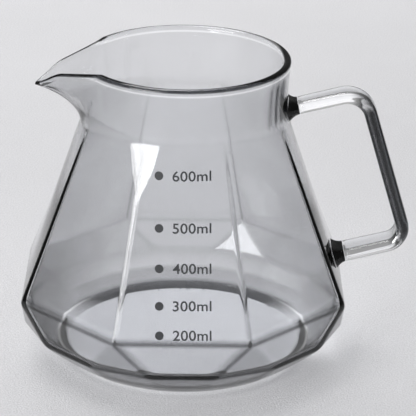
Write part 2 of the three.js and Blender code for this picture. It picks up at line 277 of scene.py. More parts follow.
class Skin:
    """One side of the vessel's glass."""

    def __init__(self, sizes, depth, softness, foot_height, base_radius, base_height):
        self.sizes = sizes
        self.depth = depth
        self.softness = softness
        self.foot_height = foot_height
        self.base_radius = base_radius
        self.base_height = base_height
        half = FACE_ANGLE / 2
        outer_flat = sizes.widest_corner * math.cos(half)
        shoulder_top = sizes.rim_height - sizes.neck_length
        self.slope = (outer_flat - sizes.neck_radius) / (shoulder_top - sizes.widest_height)
        self.lean = math.hypot(1, self.slope)
        self.outer_flat = outer_flat
        self.flat = outer_flat - depth * self.lean
        self.corner = self.flat / math.cos(half)
        self.foot_flat = (sizes.widest_corner - sizes.foot_inset) * math.cos(half / 2) - depth
        self.shoulder_top = shoulder_top
        self.blend_start = shoulder_top - sizes.neck_blend / self.slope
        self.bead_height = sizes.rim_height - sizes.rim_bead / 2
        self.narrowest = self.bead_height - sizes.flare_length

    def flare(self, z):
        """0 at the neck's narrowest ring, 1 at the rim's bead."""
        return way(z, self.narrowest, self.bead_height) ** 2

    def neck(self, z, depth):
        return mix(self.sizes.neck_radius, self.sizes.rim_radius, self.flare(z)) - depth

    def upper(self, angle, z, depth):
        """Axis to the shoulder, many-sided below and round above, or to the neck."""
        rise = (z - self.sizes.widest_height) / (self.shoulder_top - self.sizes.widest_height)
        faces = polygon_line(self.outer_flat, FACES, angle, self.softness)
        shoulder = mix(faces, self.sizes.neck_radius, rise) - depth * self.lean
        return soft_max(shoulder, self.neck(z, depth), self.sizes.neck_blend)

    def radius(self, angle, z, depth):
        """Axis to the glass, all the way from the base to the rim."""
        off = off_middle(angle, FACES)
        rise = (z - self.foot_height) / (self.sizes.widest_height - self.foot_height)
        upright = mix(self.foot_flat, self.flat, rise) / np.cos(off)
        triangle = mix(self.foot_flat, self.corner, rise) / np.cos(FACE_ANGLE / 2 - off)
        foot = polygon_line(self.foot_flat, 2 * FACES, angle, self.softness)
        under = mix(self.base_radius, foot, self.under_share(z))
        result = soft_min(self.upper(angle, z, depth), upright, self.softness)
        result = soft_min(result, triangle, self.softness)
        return soft_min(result, under, self.softness)

    def under_share(self, z):
        """How far out the underside is at a height, 0 at the base and 1 at the foot."""
        height = max(z - self.base_height, 0) / (self.foot_height - self.base_height)
        return height ** (1 / self.sizes.base_curve)

    def under_height(self, share):
        """Height of the underside where it is that far out."""
        return mix(self.base_height, self.foot_height, share**self.sizes.base_curve)


FACE_COLUMNS = 16
RIDGE_COLUMNS = 8
TRIANGLE_COLUMNS = 6
BAND_RIDGE_PAD = 3.0
SHOULDER_RIDGE_PAD = 1.6
COLUMN_GATHER = 0.4


def band_ridge(skin, z):
    """Angle from the middle of a face to the foot band's leaning ridge; the corner above the band."""
    corner = FACE_ANGLE / 2
    share = way(z, skin.foot_height, skin.sizes.widest_height)
    foot_corner = skin.foot_flat / math.cos(corner / 2)
    x = mix(foot_corner * math.cos(corner / 2), skin.corner * math.cos(corner), share)
    y = mix(foot_corner * math.sin(corner / 2), skin.corner * math.sin(corner), share)
    return np.arctan2(y, x)


def half_face_columns(skin, z):
    """Angles from the middle of a face to its corner, crowded where a ridge crosses this height."""
    corner = FACE_ANGLE / 2
    ridge = band_ridge(skin, z)
    band_pad = BAND_RIDGE_PAD * skin.softness / skin.flat
    shoulder_pad = SHOULDER_RIDGE_PAD * skin.softness / skin.flat
    low = min(ridge - band_pad, corner - 2 * shoulder_pad)
    high = min(ridge + band_pad, corner - shoulder_pad)
    return np.concatenate([
        np.linspace(0, low, FACE_COLUMNS, endpoint=False),
        np.linspace(low, high, RIDGE_COLUMNS, endpoint=False),
        np.linspace(high, corner, TRIANGLE_COLUMNS, endpoint=False),
    ])


def column_angles(skin, z):
    """Angles of all columns at a height; on the neck they gather towards the lip."""
    half = half_face_columns(skin, z)
    corner = FACE_ANGLE / 2
    face = np.concatenate([half, [corner], corner + (corner - half[:0:-1])])
    even = np.concatenate([face + side * FACE_ANGLE for side in range(FACES)])
    rise = way(z, skin.narrowest, skin.bead_height)
    return even + COLUMN_GATHER * rise * rise * (3 - 2 * rise) * np.sin(even)


def pull_lip(points, lip, skin, thickening):
    """Draws the rim out into the lip: most at its middle, less to each side and further down."""
    start = skin.sizes.rim_height - lip.depth
    x, y, z = points.T
    level = way(z, start, skin.bead_height) * (x <= 0)
    nose = lip.nose + lip.throat * (1 - level)
    side = np.hypot(y, nose) - nose
    span = np.hypot(lip.half_width, nose) - nose
    slant = np.maximum(1 - side / span, 0)
    beak = np.maximum(1 - (y / lip.beak_half_width) ** 2, 0) ** 2
    reach = (lip.reach - skin.sizes.rim_radius) * slant**lip.side_curve
    fall = lip.fall * slant + lip.beak_fall * beak
    x = x - reach * level**lip.reach_curve
    z = z - fall * level**lip.fall_curve + thickening * slant * np.sin(math.pi * level)
    return np.column_stack([x, y, z])


def ring(skin, z, radius):
    """One ring of points at a height, as far out as the given function of the angle says."""
    angle = column_angles(skin, z)
    distance = radius(angle)
    return np.column_stack([distance * np.cos(angle), distance * np.sin(angle), np.full(len(angle), z)])


BASE_RINGS = (0.06, 0.2, 0.4, 0.6, 0.8, 0.92, 0.98)
UNDER_RINGS = 16
FOOT_ZONE = 0.0018
WIDEST_ZONE = 0.0036
WIDEST_LINE = 0.0012
HEIGHT_DIGITS = 7


def skin_heights(skin):
    """Heights from the foot up to the rim's bead, close together where ridges cross."""
    foot = skin.foot_height
    widest = skin.sizes.widest_height
    zones = (
        (foot - FOOT_ZONE, foot + FOOT_ZONE, 10),
        (foot + FOOT_ZONE, widest - WIDEST_ZONE, 8),
        (widest - WIDEST_ZONE, widest + WIDEST_ZONE, 17),
        (widest - WIDEST_LINE, widest + WIDEST_LINE, 13),
        (widest + WIDEST_ZONE, skin.blend_start, 14),
        (skin.blend_start, skin.bead_height, 44),
    )
    heights = np.concatenate([np.linspace(low, high, count) for low, high, count in zones])
    return np.unique(heights.round(HEIGHT_DIGITS))


def skin_rows(skin, lip, thickening, depth_at):
    """Rings of one skin, from the middle of its floor out and up to the rim's bead."""
    rows = []
    for share in BASE_RINGS:
        radius = share * skin.base_radius
        rows.append(ring(skin, skin.base_height, lambda angle: np.full(len(angle), radius)))
    heights = skin_heights(skin)
    for share in np.linspace(0, skin.under_share(heights[0]), UNDER_RINGS, endpoint=False):
        z = skin.under_height(share)
        rows.append(ring(skin, z, lambda angle: skin.radius(angle, z, skin.depth)))
    for z in heights:
        row = ring(skin, z, lambda angle: skin.radius(angle, z, depth_at(z)))
        rows.append(pull_lip(row, lip, skin, thickening))
    return rows


BEAD_STEPS = 24


def bead_turns():
    """Turns round the rim's bead, from just past its outermost ring to its innermost one."""
    return np.linspace(0, math.pi, BEAD_STEPS + 1)[1:]


def bead_rows(skin, lip):
    """Rings over the rounded rim, from the outside to the inside."""
    radius = skin.sizes.rim_bead / 2
    rows = []
    for turn in bead_turns():
        inward = radius * (1 - math.cos(turn))
        row = ring(skin, skin.bead_height, lambda angle: skin.upper(angle, skin.bead_height, inward))
        row = pull_lip(row, lip, skin, 0)
        row[:, 2] += radius * math.sin(turn)
        rows.append(row)
    return rows


# Where the underside and the foot band turn dark with painted shade, as shares of a radius or, for
# UNDER_FULL, of a height.
HEEL_START = 0.999
HEEL_FADE = 1 / 3
BEHIND_START = 0.32
BEHIND_END = 0.72
UNDER_FULL = 0.75
FRONT_FADE = 2 / 3
SIDE_EDGE = 1.005
SIDE_START = 1 / 2
SIDE_END = 5 / 6

# Two darker lines of painted shade on the heel: their heights and their width, in metres.
HEEL_LINES = (0.0020, 0.0064)
HEEL_LINE_WIDTH = 0.0007


def front_share(skin, edges, y):
    """1 in front and at the sides, falling to the back's share behind."""
    return 1 - (1 - edges.back) * way(y, 0, FRONT_FADE * skin.foot_flat)


def behind(skin, y):
    """0 in front and at the sides, 1 at the back of the base."""
    return way(y, BEHIND_START * skin.base_radius, BEHIND_END * skin.base_radius)


def edge_shade(skin, edges, points, foot):
    """How much painted shade the melted edges, the foot band and the underside give the glass at each point,
    0 to 1.
    """
    x, y, z = points.T
    reach = np.hypot(x, y)
    off = off_middle(np.arctan2(y, x), FACES)
    widest = skin.sizes.widest_height
    above = way(z, skin.shoulder_top, widest) * (z > widest)
    band = (z > skin.foot_height) & (z <= widest)
    triangle = band & (off > band_ridge(skin, z))
    ridge = reach * np.abs(off - band_ridge(skin, z))
    slope = way(z - skin.base_height, edges.under_height, UNDER_FULL * edges.under_height)
    slope = slope * (reach > skin.base_radius) * behind(skin, y)
    heel = (reach > HEEL_START * skin.base_radius) * (z < skin.foot_height)
    heel = heel * way(y, 0, -HEEL_FADE * skin.base_radius)
    heel = heel * (1 + sum(near(z - height, HEEL_LINE_WIDTH) for height in HEEL_LINES))
    beside = np.where(np.abs(x) < skin.corner * math.sin(FACE_ANGLE / 2), 1.0, edges.outer_brace)
    front = front_share(skin, edges, y)
    return np.max([
        edges.ridge * near(ridge, edges.width) * np.sqrt(above),
        edges.brace * beside * front * near(ridge, edges.foot_width) * band,
        edges.widest * front * near(z - widest, edges.widest_width),
        foot * front * near(z - skin.foot_height, edges.foot_width),
        front * (edges.band * band + edges.triangle * triangle),
        edges.under * slope + np.minimum(edges.heel * heel, 1),
    ], axis=0)


def side_shade(skin, edges, points):
    """Painted shade inside the foot band towards the lip and the handle, where the eye looks along the
    glass.
    """
    x, y, z = points.T
    low = (np.hypot(x, y) > SIDE_EDGE * skin.base_radius) & (z <= skin.sizes.widest_height)
    dark = np.where(x < 0, edges.lip_side, edges.handle_side)
    return dark * low * way(np.abs(x), SIDE_START * skin.foot_flat, SIDE_END * skin.foot_flat)


def full_shade(skin, edges, points, share, foot):
    """The larger of a share of the edges' painted shade and the sides' painted shade."""
    return np.maximum(share * edge_shade(skin, edges, points, foot), side_shade(skin, edges, points))


RIM_LINE_PLACE = math.radians(34)
RIM_LINE_WIDTH = math.radians(40)
RIM_GLINT_DROP = 0.0011


def rim_line(turn):
    """The painted shade line round the outside of the bead, by the turn from its outermost ring."""
    return math.exp(-(((turn - RIM_LINE_PLACE) / RIM_LINE_WIDTH) ** 4))


def rim_light(skin, edges, points):
    """Painted glint, given off as emission, along the lower edge of the rim's bead."""
    return edges.rim_glint * near(points[:, 2] - skin.bead_height + RIM_GLINT_DROP, edges.glint_width)


def floor_light(skin, edges, points):
    """Painted glint and glow, given off as emission, along the edge of the floor, apart from the side away
    from the scale.
    """
    x, y, z = points.T
    inward = skin.base_radius - np.hypot(x, y)
    glow = edges.glow * way(inward, edges.glow_width, 0) * (inward > -edges.glint_width)
    light = np.maximum(edges.glint * near(inward, edges.glint_width), glow)
    return light * (z < skin.foot_height) * (1 - behind(skin, y))


# Smoke tint with painted shade in each zone, with the shoulder's faces as 1; the crease on the lip's side is
# painted shade alone. Rises and fades are in metres.
INNER_SMOKE = 0.6
NECK_SMOKE = 1.5
NECK_BACK = 0.6
NECK_BACK_FULL = 0.5
SHOULDER_SMOKE = 0.45
BAND_SMOKE_AND_SHADE = 0.8
BAND_SMOKE_FADE = 0.0008
CREASE_SHADE = 1.6
CREASE_RISE = 0.005
CREASE_FADE = 0.008

# Painted shade streaks in the neck: degrees round from the handle, width in degrees, strength as a share of
# smoke.
STREAKS = ((22.0, 3.0, 4.0), (29.5, 1.8, 3.2), (36.0, 1.4, 2.6))
STREAK_FOOT = 0.094
STREAK_TOP = 0.1125
STREAK_FADE = 0.003


def smoke_share(skin, edges, points):
    """How much of the smoke tint and its painted shade the glass carries: none in the floor, most in foot
    band and neck.
    """
    x, y, z = points.T
    widest = skin.sizes.widest_height
    neck_radius = skin.sizes.neck_radius
    low = way(z, skin.base_height, skin.foot_height) ** 2
    high = way(z, skin.shoulder_top, skin.narrowest)
    neck = NECK_SMOKE * (1 - NECK_BACK * way(y, 0, NECK_BACK_FULL * neck_radius))
    sunk = SHOULDER_SMOKE * way(z, skin.shoulder_top, widest) ** 2
    # The foot band's front: smoke tint with painted shade.
    band = BAND_SMOKE_AND_SHADE * front_share(skin, edges, y) * way(z, widest, widest - BAND_SMOKE_FADE)
    # Painted shade below the shoulder on the lip's side.
    lipward = way(x, 0, -neck_radius)
    below = skin.shoulder_top + CREASE_RISE * lipward - z
    crease = CREASE_SHADE * lipward * (below > 0) * np.exp(-np.maximum(below, 0) / CREASE_FADE)
    return low * (mix(1.0, neck, high) + sunk + band + crease + painted_neck_streaks(points))


def painted_neck_streaks(points):
    """Upright streaks of painted shade in the neck, where its glass spreads the upper seal's dark towards
    the front.
    """
    x, y, z = points.T
    off = np.degrees(-np.arctan2(y, x))
    tall = way(z, STREAK_FOOT, STREAK_FOOT + STREAK_FADE) * way(z, STREAK_TOP, STREAK_TOP - STREAK_FADE)
    return tall * sum(strength * near(off - place, width) for place, width, strength in STREAKS)


def rings_mesh(name, rows, first, last=None):
    """A mesh through rings of equal counts, with a fan to a middle point first and, if given, last."""
    count = len(rows[0])
    points = np.vstack([[first], *rows] + ([] if last is None else [[last]]))
    pairs = [(column, (column + 1) % count) for column in range(count)]
    faces = [(0, 1 + b, 1 + a) for a, b in pairs]
    top = 1 + (len(rows) - 1) * count
    for low in range(1, top, count):
        high = low + count
        faces += [(low + a, low + b, high + b, high + a) for a, b in pairs]
    if last is not None:
        faces += [(top + a, top + b, top + count) for a, b in pairs]
    mesh = bpy.data.meshes.new(name)
    mesh.from_pydata(points.tolist(), [], faces)
    mesh.validate()
    mesh.shade_smooth()
    return mesh


def set_shade(mesh, kind, rows):
    """Keeps a value for each point of a mesh's rings, and none for its two middle points."""
    shade = mesh.attributes.new(kind, "FLOAT", "POINT")
    shade.data.foreach_set("value", np.concatenate([[0.0], *rows, [0.0]]))


def place_piece(name, mesh, finish, slot, *nodes):
    """Puts a piece in the scene, on the carafe's body and in place of its solids."""
    piece = bpy.data.objects.new(name, mesh)
    bpy.context.scene.collection.objects.link(piece)
    mesh.materials.append(finish)
    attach(piece, BODY)
    if nodes:
        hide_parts(*nodes)


class Wire:
    """A shader value. Arithmetic on it adds Math nodes."""

    def __init__(self, finish, socket):
        self.finish = finish
        self.socket = socket

    def maths(self, operation, first, second):
        return self.finish.node("ShaderNodeMath", {"operation": operation}, {0: first, 1: second})

    def __add__(self, other):
        return self.maths("ADD", self, other)

    __radd__ = __add__

    def __sub__(self, other):
        return self.maths("SUBTRACT", self, other)

    def __rsub__(self, other):
        return self.maths("SUBTRACT", other, self)

    def __mul__(self, other):
        return self.maths("MULTIPLY", self, other)

    __rmul__ = __mul__


class Finish:
    """A node material in the making."""

    def __init__(self, name):
        self.material = bpy.data.materials.new(name)
        self.material.use_nodes = True
        self.tree = self.material.node_tree
        self.tree.nodes.clear()

    def node(self, kind, settings=None, inputs=None, output=0):
        """Adds a node: its settings first, then its sockets' values or links. Gives its output."""
        made = self.tree.nodes.new(kind)
        for key, value in (settings or {}).items():
            if key == "stops":
                self.set_stops(made.color_ramp, value)
            else:
                setattr(made, key, value)
        for key, value in (inputs or {}).items():
            if isinstance(value, Wire):
                self.tree.links.new(value.socket, made.inputs[key])
            else:
                made.inputs[key].default_value = value
        return Wire(self, made.outputs[output]) if made.outputs else None

    @staticmethod
    def set_stops(ramp, stops):
        while len(ramp.elements) < len(stops):
            ramp.elements.new(1.0)
        for element, (place, value) in zip(ramp.elements, stops):
            element.position = place
            element.color = (value, value, value, 1.0)

    def place(self):
        return self.node("ShaderNodeTexCoord", output="Object")

    def kept(self, name):
        """A value that the mesh keeps for each of its points."""
        return self.node("ShaderNodeAttribute", {"attribute_name": name}, output="Fac")

    def noise(self, scale, detail, place, roughness=0.5):
        inputs = {"Vector": place, "Scale": scale, "Detail": detail, "Roughness": roughness}
        return self.node("ShaderNodeTexNoise", inputs=inputs, output="Fac")

    def ramp(self, value, *stops):
        return self.node("ShaderNodeValToRGB", {"stops": stops}, {"Fac": value})

    def blend(self, share, first, second):
        inputs = {"Factor": share, 6: self.tint(first), 7: self.tint(second)}
        return self.node("ShaderNodeMix", {"data_type": "RGBA"}, inputs, output=2)

    @staticmethod
    def tint(colour):
        return colour if isinstance(colour, Wire) else (*colour, 1.0)

    def bump(self, height, strength, distance):
        inputs = {"Height": height, "Strength": strength, "Distance": distance}
        return self.node("ShaderNodeBump", None, inputs)

    def done(self, **shaders):
        """Ends the material with its surface and, where it has one, its volume."""
        self.node("ShaderNodeOutputMaterial", None, {key.title(): value for key, value in shaders.items()})
        return self.material


GLASS_IOR = 1.47
CLEAR_GLASS = (0.978, 0.984, 0.996)
WIPED_GLASS = (0.95, 0.955, 0.965)
DRAWN_UP = (1.0, 1.0, 0.45)
WAVE_SCALE = 38.0
WAVE_HEIGHT = 0.0006
WIPE_SCALE = 90.0
WIPE_STOPS = ((0.52, 0.0), (0.78, 1.0))
POLISH = 0.004
WIPE_DULLNESS = 0.02
SMOKE_AHEAD = 0.055
SMOKE_SLANTED = 0.34
EDGE_SHADOW = 0.35
BLACK = (0.0, 0.0, 0.0)
WHITE = (1.0, 1.0, 1.0)


def glass_finish(name, colours, ripple, density):
    """Grey glass with the soft ripple of blown glass and faint wipe marks, painted shade in its colour and
    painted glints given off as emission; only its edges throw a shadow.
    """
    finish = Finish(name)
    drawn = finish.node("ShaderNodeVectorMath", {"operation": "MULTIPLY"}, {0: finish.place(), 1: DRAWN_UP})
    waves = finish.noise(WAVE_SCALE, 1.0, drawn)
    wipes = finish.ramp(finish.noise(WIPE_SCALE, 4.0, drawn), *WIPE_STOPS)
    # The smoke tint deepens where the glass is seen slantwise; its kept share carries painted shade as well.
    slant = finish.node("ShaderNodeLayerWeight", None, {"Blend": 0.5}, output="Facing")
    smoke = finish.kept(SMOKE_AND_SHADE_SHARE) * (SMOKE_AHEAD + slant * SMOKE_SLANTED)
    edge = finish.kept(EDGE_SHADE)
    smoky = finish.blend(smoke, finish.blend(wipes, CLEAR_GLASS, WIPED_GLASS), colours.edge)
    surface = finish.node(
        "ShaderNodeBsdfPrincipled",
        None,
        {
            # Painted shade along the edges darkens the glass's colour.
            "Base Color": finish.blend(edge, smoky, colours.edge),
            "Roughness": POLISH + wipes * WIPE_DULLNESS,
            "Normal": finish.bump(waves, ripple, WAVE_HEIGHT),
            "Transmission Weight": 1.0,
            "IOR": GLASS_IOR,
            # Painted glints, given off as emission.
            "Emission Color": finish.blend(finish.kept(EDGE_LIGHT), BLACK, WHITE),
            "Emission Strength": 1.0,
        },
    )
    shadow = finish.node("ShaderNodeLightPath", output="Is Shadow Ray") * (1 - edge * EDGE_SHADOW)
    through = finish.node("ShaderNodeBsdfTransparent", None, {"Color": (*WHITE, 1.0)})
    tinted = {"Color": (*colours.smoke, 1.0), "Density": density}
    return finish.done(
        surface=finish.node("ShaderNodeMixShader", None, {0: shadow, 1: surface, 2: through}),
        volume=finish.node("ShaderNodeVolumeAbsorption", None, tinted),
    )


INK_GRAIN_SCALE = 2600.0
INK_HOLE_SCALE = 5200.0
INK_HOLE_STOPS = ((0.66, 0.0), (0.74, 1.0))
INK_LIGHTER = 1.9


def ink_finish(colours):
    """Screen-printed ink: a dull dark grey with the weave of the screen and a few pinholes."""
    finish = Finish("scale_ink")
    place = finish.place()
    grain = finish.noise(INK_GRAIN_SCALE, 2.0, place)
    holes = finish.ramp(finish.noise(INK_HOLE_SCALE, 1.0, place), *INK_HOLE_STOPS)
    lighter = tuple(min(value * INK_LIGHTER, 1.0) for value in colours.ink)
    surface = finish.node(
        "ShaderNodeBsdfPrincipled",
        None,
        {
            "Base Color": finish.blend(grain * 0.5 + holes * 0.5, colours.ink, lighter),
            "Roughness": 0.5 + grain * 0.2,
            "Normal": finish.bump(grain + holes, 0.25, 0.00002),
        },
    )
    return finish.done(surface=surface)


# Painted shade on the floor: the board darkens far from this middle.
FAR_SHADE_MIDDLE = (0.0, 0.16, 0.0)
FAR_SHADE = (0.03, 0.03, 0.032)
FAR_SHADE_STOPS = ((0.5, 0.0), (1.0, 1.0))
BOARD_DARKER = 0.78
GRAIN_SCALE = 1300.0
GRAIN_STOPS = ((0.34, 0.0), (0.66, 1.0))
CLOUD_SCALE = 14.0
GRAIN_HEIGHT = 0.0004


def floor_finish(colour):
    """Pale board with a fine grain, darkened far away by painted shade where the lamps' light would fall
    off.
    """
    finish = Finish("floor_board")
    place = finish.place()
    grain = finish.ramp(finish.noise(GRAIN_SCALE, 3.0, place, 0.7), *GRAIN_STOPS)
    cloud = finish.noise(CLOUD_SCALE, 3.0, place)
    darker = tuple(value * BOARD_DARKER for value in colour)
    centred = finish.node("ShaderNodeVectorMath", {"operation": "SUBTRACT"}, {0: place, 1: FAR_SHADE_MIDDLE})
    distance = finish.node("ShaderNodeVectorMath", {"operation": "LENGTH"}, {0: centred}, output="Value")
    board = finish.blend(grain * 0.7 + cloud * 0.3, colour, darker)
    surface = finish.node(
        "ShaderNodeBsdfPrincipled",
        None,
        {
            # Painted shade darkens the board far from the middle.
            "Base Color": finish.blend(finish.ramp(distance, *FAR_SHADE_STOPS), board, FAR_SHADE),
            "Roughness": 0.55 + grain * 0.2,
            "Normal": finish.bump(grain, 0.35, GRAIN_HEIGHT),
        },
    )
    return finish.done(surface=surface)


def outer_skin(vessel):
    return Skin(vessel, 0.0, vessel.ridge, vessel.foot_height, vessel.base_radius, 0.0)


def inner_skin(vessel):
    outer = outer_skin(vessel)
    beside_floor = mix(vessel.base_radius, outer.foot_flat, outer.under_share(vessel.floor))
    foot_height = vessel.foot_height + vessel.wall / 2
    floor_radius = beside_floor - vessel.floor_edge
    return Skin(vessel, vessel.wall, vessel.inner_ridge, foot_height, floor_radius, vessel.floor)


VESSEL_RIPPLE = 0.06
STRAP_RIPPLE = 0.04
SEAL_RIPPLE = 0.10


class CARAFE_OT_vessel(bpy.types.Operator):
    """Blow the faceted vessel with its rim and its pouring lip"""

    bl_idname = "carafe.vessel"
    bl_label = "Vessel"

    def execute(self, context):
        carafe = context.scene.carafe
        vessel, lip, edges, colours = carafe.vessel, carafe.lip, carafe.edges, carafe.colours
        outer = outer_skin(vessel)
        inner = inner_skin(vessel)
        outside = skin_rows(outer, lip, 0.0, lambda z: 0.0)
        bead = bead_rows(outer, lip)
        inside = skin_rows(
            inner, lip, lip.thickening, lambda z: mix(vessel.wall, vessel.rim_bead, inner.flare(z))
        )
        # The bead ends on the inside's last ring, and from there the rings run down to the floor.
        inside = inside[-2::-1]
        mesh = rings_mesh("vessel", outside + bead + inside, (0, 0, 0), (0, 0, vessel.floor))
        # Painted shade along the edges and round the rim, the smoke tint with its painted shade, and painted
        # glints given off as emission.
        shades = [full_shade(outer, edges, row, 1.0, edges.foot) for row in outside]
        shades += [np.full(len(row), edges.rim * rim_line(turn)) for row, turn in zip(bead, bead_turns())]
        shades += [full_shade(inner, edges, row, edges.inner, 0.0) for row in inside]
        set_shade(mesh, EDGE_SHADE, shades)
        smoke = [smoke_share(outer, edges, row) for row in outside + bead]
        smoke += [INNER_SMOKE * smoke_share(inner, edges, row) for row in inside]
        set_shade(mesh, SMOKE_AND_SHADE_SHARE, smoke)
        light = [rim_light(outer, edges, row) for row in outside]
        light += [np.zeros(len(row)) for row in bead]
        light += [floor_light(inner, edges, row) for row in inside]
        set_shade(mesh, EDGE_LIGHT, light)
        finish = glass_finish("vessel_glass", colours, VESSEL_RIPPLE, colours.smoke_density)
        place_piece("vessel", mesh, finish, "smoked_glass", "carafe_body")
        return {"FINISHED"}


REACH_STEPS = 8


def wall_reach(skin, side, z):
    """Axis to the outside of a face's wall, square to the face, at a place beside its middle line."""
    reach = skin.outer_flat
    for _ in range(REACH_STEPS):
        radius = skin.upper(np.arctan2(side, reach), z, 0.0)
        reach = np.sqrt(radius * radius - side * side)
    return reach


ROUNDEST_EDGE = 0.48
CORNER_POINTS = 9
FLAT_POINTS = 5


def strap_outline(handle, width, margin):
    """Rounded outline of the strap: across the carafe first, then across the strap's thickness."""
    half_width = width / 2 + margin
    half_thickness = handle.thickness / 2 + margin
    radius = min(handle.edge_radius, ROUNDEST_EDGE * handle.thickness) + margin
    corners = []
    for corner, (side_x, side_y) in enumerate(((1, 1), (-1, 1), (-1, -1), (1, -1))):
        turn = np.linspace(corner, corner + 1, CORNER_POINTS) * math.pi / 2
        middle = np.array([side_x * (half_width - radius), side_y * (half_thickness - radius)])
        corners.append(middle + radius * np.column_stack([np.cos(turn), np.sin(turn)]))
    outline = []
    for corner, following in zip(corners, corners[1:] + corners[:1]):
        flat = np.linspace(0, 1, FLAT_POINTS + 2)[1:-1, None]
        outline += [corner, mix(corner[-1], following[0], flat)]
    return np.vstack(outline)


class Station:
    """A place on the strap's middle line, in the plane of the handle."""

    def __init__(self, x, z, direction):
        self.middle = np.array([x, 0.0, z])
        self.along = np.array([math.cos(direction), 0.0, math.sin(direction)])
        self.over = np.array([-math.sin(direction), 0.0, math.cos(direction)])

    def set(self, outline):
        """The points of an outline that stands square on the line here."""
        across = np.array([0.0, 1.0, 0.0])
        return self.middle + outline[:, :1] * across + outline[:, 1:] * self.over


def arm_root(handle, skin, z):
    """Where an arm's middle line meets the wall."""
    return Station(wall_reach(skin, 0.0, z), z, handle.arm_slope)


BEND_STEPS = 20
ARM_STEPS = 8
GRIP_STEPS = 16


def bend_stations(corner, radius, start, end):
    """Stations round a bend that turns clockwise from one direction to the next."""
    back = radius * math.tan((start - end) / 2)
    ahead = np.array([math.cos(start), math.sin(start)])
    inward = np.array([math.sin(start), -math.cos(start)])
    centre = np.array(corner) - ahead * back + inward * radius
    stations = []
    for direction in np.linspace(start, end, BEND_STEPS + 1):
        x = centre[0] - radius * math.sin(direction)
        z = centre[1] + radius * math.cos(direction)
        stations.append(Station(x, z, direction))
    return stations


def straight_stations(first, last, steps, direction):
    """Stations between two places, without the places themselves."""
    shares = np.linspace(0, 1, steps + 1)[1:-1]
    places = [mix(first.middle, last.middle, share) for share in shares]
    return [Station(place[0], place[2], direction) for place in places]


def strap_stations(handle, skin):
    """All stations of the strap, from the upper seal over both bends to the lower seal."""
    upper = arm_root(handle, skin, skin.sizes.rim_height - handle.upper_drop)
    lower = arm_root(handle, skin, handle.lower_height)
    rise = math.tan(handle.arm_slope)
    upper_corner = (handle.top_reach, upper.middle[2] + (handle.top_reach - upper.middle[0]) * rise)
    lower_corner = (handle.bottom_reach, lower.middle[2] + (handle.bottom_reach - lower.middle[0]) * rise)
    grip = math.atan2(lower_corner[1] - upper_corner[1], lower_corner[0] - upper_corner[0])
    homeward = handle.arm_slope - math.pi
    reach = handle.seal_length + handle.seal_gap
    upper_end = upper.middle + upper.along * reach
    lower_end = lower.middle + lower.along * reach
    first = Station(upper_end[0], upper_end[2], handle.arm_slope)
    last = Station(lower_end[0], lower_end[2], homeward)
    top = bend_stations(upper_corner, handle.upper_bend, handle.arm_slope, grip)
    bottom = bend_stations(lower_corner, handle.lower_bend, grip, homeward)
    return [
        first,
        *straight_stations(first, top[0], ARM_STEPS, handle.arm_slope),
        *top,
        *straight_stations(top[-1], bottom[0], GRIP_STEPS, grip),
        *bottom,
        *straight_stations(bottom[-1], last, ARM_STEPS, homeward),
        last,
    ]


# Where the grip's painted shade and the arms' painted highlight start and are full, by the squared slope of
# the strap and by the place across it.
GRIP_UPRIGHT = (0.3, 0.8)
GRIP_EDGE = (0.3, 0.5)
GRIP_LINE_WIDTH = 0.13
ARM_LEVEL = (0.7, 0.95)
ARM_EDGE = (0.7, 0.9)


def across_share(outline):
    """Place of each point across the strap, 0 at its middle and 1 at both edges."""
    across = np.abs(outline[:, 0])
    return across / across.max()


def grip_shade(edges, handle, station, outline):
    """Painted shade along the upright grip's rounded edges, with one bright line towards the vessel."""
    over = outline[:, 1] / (handle.thickness / 2)
    dark = way(station.along[2] ** 2, *GRIP_UPRIGHT) * way(across_share(outline), *GRIP_EDGE)
    return edges.grip * dark * (1 - near(over + edges.grip_line, GRIP_LINE_WIDTH))


def arm_light(edges, station, outline):
    """Painted highlight, given off as emission, along the two arms' rounded edges, fading into the bends."""
    light = edges.upper_arm if station.over[2] > 0 else edges.lower_arm
    return light * way(station.over[2] ** 2, *ARM_LEVEL) * way(across_share(outline), *ARM_EDGE)


class CARAFE_OT_strap(bpy.types.Operator):
    """Bend the glass strap of the handle"""

    bl_idname = "carafe.strap"
    bl_label = "Handle strap"

    def execute(self, context):
        carafe = context.scene.carafe
        handle, edges, colours = carafe.handle, carafe.edges, carafe.colours
        stations = strap_stations(handle, outer_skin(carafe.vessel))
        middles = np.array([station.middle for station in stations])
        run = np.concatenate([[0.0], np.cumsum(np.linalg.norm(np.diff(middles, axis=0), axis=1))])
        rows = []
        shades = []
        lights = []
        for station, share in zip(stations, run / run[-1]):
            outline = strap_outline(handle, mix(handle.top_width, handle.bottom_width, share), 0.0)
            rows.append(station.set(outline))
            # Painted shade on the grip and painted highlights on the arms.
            shades.append(grip_shade(edges, handle, station, outline))
            lights.append(arm_light(edges, station, outline))
        mesh = rings_mesh("strap", rows, middles[0], middles[-1])
        set_shade(mesh, EDGE_SHADE, shades)
        set_shade(mesh, EDGE_LIGHT, lights)
        finish = glass_finish("strap_glass", colours, STRAP_RIPPLE, colours.strap_density)
        place_piece("strap", mesh, finish, "handle_glass", "handle_strap")
        return {"FINISHED"}


SEAL_RINGS = 10
SEAT_RINGS = 5
SEAT_STEPS = 12


def seat_on_wall(skin, gap, points, along):
    """Slides points along an arm until they stand the seal's gap off the wall."""
    seated = points.copy()
    for _ in range(SEAT_STEPS):
        short = wall_reach(skin, seated[:, 1], seated[:, 2]) + gap - seated[:, 0]
        seated += along * (short / along[0])[:, None]
    return seated


